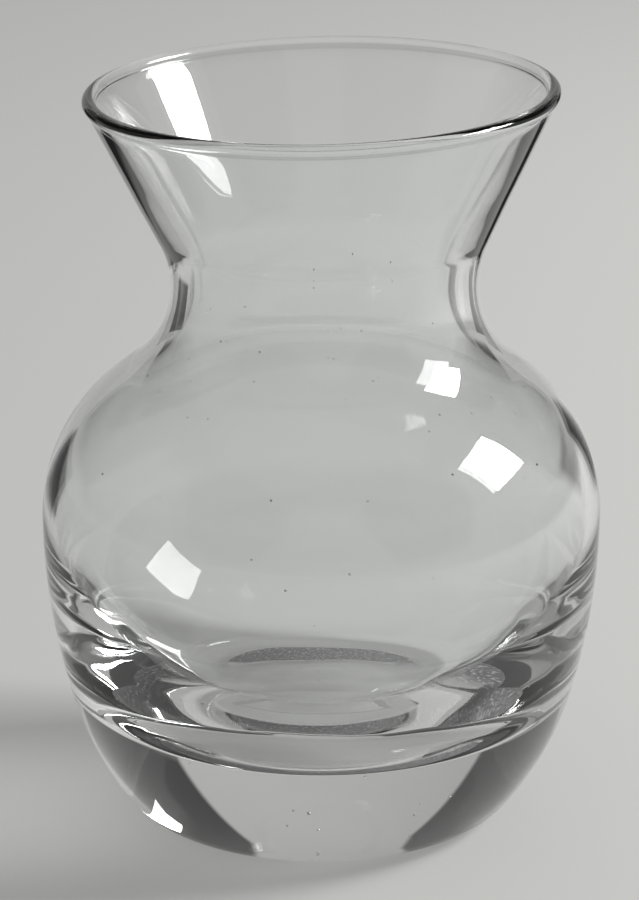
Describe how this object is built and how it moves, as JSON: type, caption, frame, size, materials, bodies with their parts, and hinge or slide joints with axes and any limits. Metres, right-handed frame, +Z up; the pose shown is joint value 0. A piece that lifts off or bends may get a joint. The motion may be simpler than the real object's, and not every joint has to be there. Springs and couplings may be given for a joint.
{
  "type": "rose bowl vase",
  "caption": "Clear glass flower vase with a thick solid base, round bowl, drawn-in neck and wide flared mouth with a rounded lip.",
  "frame": {"origin": "centre of the standing ring, on the plane the vase stands on", "axes": "+Z up along the vase's axis, from the foot to the mouth; the vase is round, so +X and +Y are free"},
  "size_m": [0.096, 0.096, 0.1291],
  "materials": {
    "clear_glass": "clear soda-lime glass, smooth mould-blown surface, fire-polished lip"
  },
  "bodies": {
    "root": {"base": "clear_glass", "bowl": "clear_glass", "flared_mouth": "clear_glass", "lip_bead": "clear_glass"}
  },
  "joints": []
}
